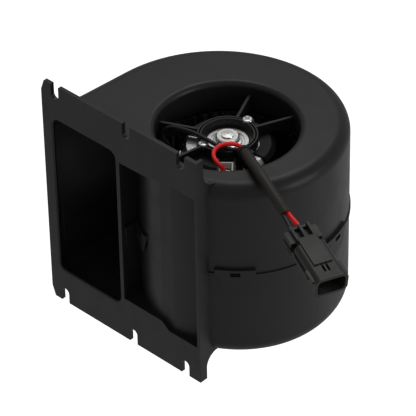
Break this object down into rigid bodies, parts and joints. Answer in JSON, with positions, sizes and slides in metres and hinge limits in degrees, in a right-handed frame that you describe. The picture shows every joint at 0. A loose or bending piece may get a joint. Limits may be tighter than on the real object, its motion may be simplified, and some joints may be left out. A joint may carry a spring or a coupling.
{
  "type": "blower motor wheel",
  "caption": "Double-inlet centrifugal blower: split scroll housing with an outlet flange, brushed motor on a spoked bracket, bladed wheel and a short lead with connector.",
  "frame": {"origin": "centre of the outlet flange's mating face, on the bar between the outlet window and the pocket, half way up the flange", "axes": "-Y is the way the air leaves, normal to the flange; +Z is along the fan axis, towards the motor bracket and lead; +X runs along the flange to its free edge"},
  "size_m": [0.2716, 0.1748, 0.19],
  "materials": {
    "housing_plastic": "satin moulded, near black",
    "wheel_plastic": "satin moulded, black",
    "zinc_steel": "bright zinc plate",
    "ground_steel": "ground",
    "spring_steel": "drawn wire",
    "lamination_steel": "stacked sheet, varnished",
    "ferrite": "dull ceramic",
    "sintered_bronze": "porous, oiled",
    "fibre_board": "laminated fibre",
    "carbon": "dull graphite",
    "copper": "enamelled and bare copper",
    "pale_nylon": "moulded, pale grey",
    "red_insulation": "soft gloss",
    "black_insulation": "soft gloss",
    "heat_shrink": "matt shrunk sleeve",
    "connector_plastic": "satin moulded, dark grey-brown",
    "cushion_rubber": "moulded, matt black",
    "seal_rubber": "moulded silicone",
    "tinned_contact": "tin plate"
  },
  "bodies": {
    "housing": {"upper_housing": "housing_plastic", "lower_housing": "housing_plastic", "motor_bracket": "housing_plastic", "bracket_screws": "zinc_steel", "motor_can": "zinc_steel", "motor_end_cap": "zinc_steel", "field_magnets": "ferrite", "upper_bearing": "sintered_bronze", "lower_bearing": "sintered_bronze", "brush_plate": "fibre_board", "brush_spring_a": "spring_steel", "brush_spring_b": "spring_steel", "supply_strips": "tinned_contact", "suppression_chokes": "ferrite", "terminal_receptacle": "pale_nylon", "cable_clamp": "connector_plastic", "motor_cushion": "cushion_rubber", "red_lead": "red_insulation", "black_lead": "black_insulation", "cable_sheath": "heat_shrink", "connector_body": "connector_plastic", "connector_pins": "tinned_contact", "connector_seals": "seal_rubber"},
    "rotor": {"motor_shaft": "ground_steel", "armature_core": "lamination_steel", "armature_windings": "copper", "commutator": "copper", "thrust_washers": "pale_nylon", "wheel_disc": "wheel_plastic", "wheel_blades": "wheel_plastic", "wheel_rings": "wheel_plastic", "impeller_clip": "spring_steel", "balance_weights": "zinc_steel"},
    "brush_a": {"brush_a": "carbon"},
    "brush_b": {"brush_b": "carbon"},
    "connector_lock": {"connector_lock": "connector_plastic"}
  },
  "joints": [
    {"name": "rotor_spin", "type": "hinge", "parent": "housing", "child": "rotor", "pos_m": [0.035, 0.0713, 0], "axis": [0, 0, 1], "continuous": true},
    {"name": "brush_a_slide", "type": "slide", "parent": "housing", "child": "brush_a", "axis": [1, 0, 0], "range_m": [0, 0.006], "stiffness_N_per_m": 60, "springref_m": -0.006, "deforming": ["brush_spring_a"]},
    {"name": "brush_b_slide", "type": "slide", "parent": "housing", "child": "brush_b", "axis": [-1, 0, 0], "range_m": [0, 0.006], "stiffness_N_per_m": 60, "springref_m": -0.006, "deforming": ["brush_spring_b"]},
    {"name": "connector_lock_slide", "type": "slide", "parent": "housing", "child": "connector_lock", "axis": [-0.3782, -0.9257, 0], "range_m": [0, 0.003]}
  ]
}
